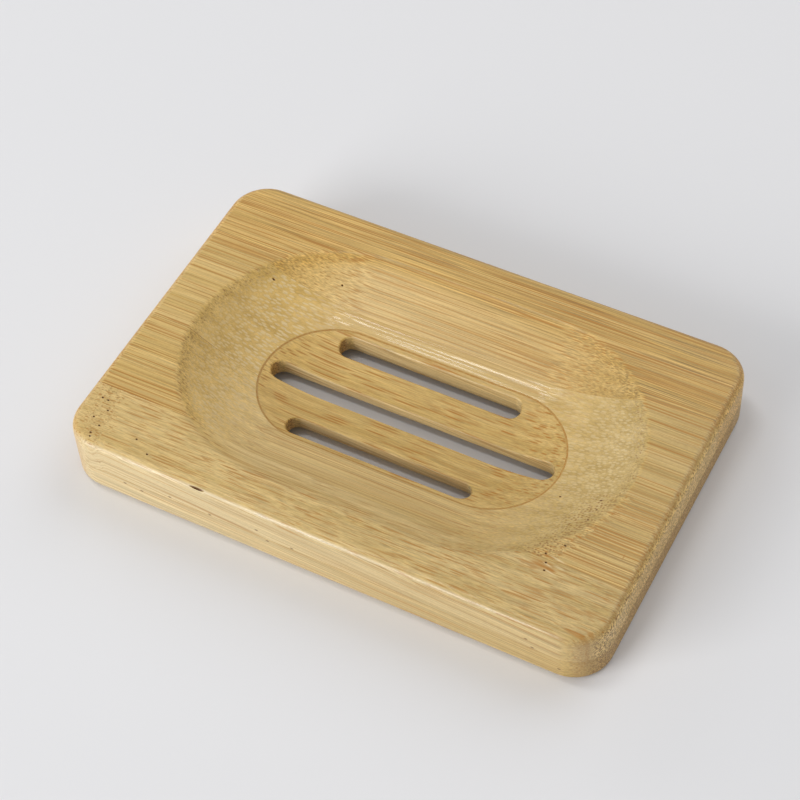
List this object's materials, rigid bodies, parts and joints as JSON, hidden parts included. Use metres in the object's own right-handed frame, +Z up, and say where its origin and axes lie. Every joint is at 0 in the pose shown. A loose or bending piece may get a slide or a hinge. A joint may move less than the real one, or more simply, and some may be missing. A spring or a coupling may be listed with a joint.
{
  "type": "soap dish",
  "caption": "Low rectangular soap dish of laminated bamboo strips, with a round-ended concave bowl, drain slots through its floor and a shallow relief pocket underneath.",
  "frame": {"origin": "on the resting plane, under the middle of the dish", "axes": "+X along the dish and its grain, +Y to the back, +Z up out of the bowl"},
  "size_m": [0.13, 0.0864, 0.015],
  "materials": {
    "upper_bamboo": "light bamboo, satin lacquer",
    "lower_bamboo": "honey bamboo, satin lacquer",
    "glue_line": "cured brown wood adhesive"
  },
  "bodies": {
    "root": {"upper_front_strip": "upper_bamboo", "upper_inner_front_strip": "upper_bamboo", "upper_inner_back_strip": "upper_bamboo", "upper_back_strip": "upper_bamboo", "lower_front_strip": "lower_bamboo", "lower_inner_front_strip": "lower_bamboo", "lower_inner_back_strip": "lower_bamboo", "lower_back_strip": "lower_bamboo", "upper_edge_glue": "glue_line", "lower_edge_glue": "glue_line", "ply_glue_film": "glue_line"}
  },
  "joints": []
}
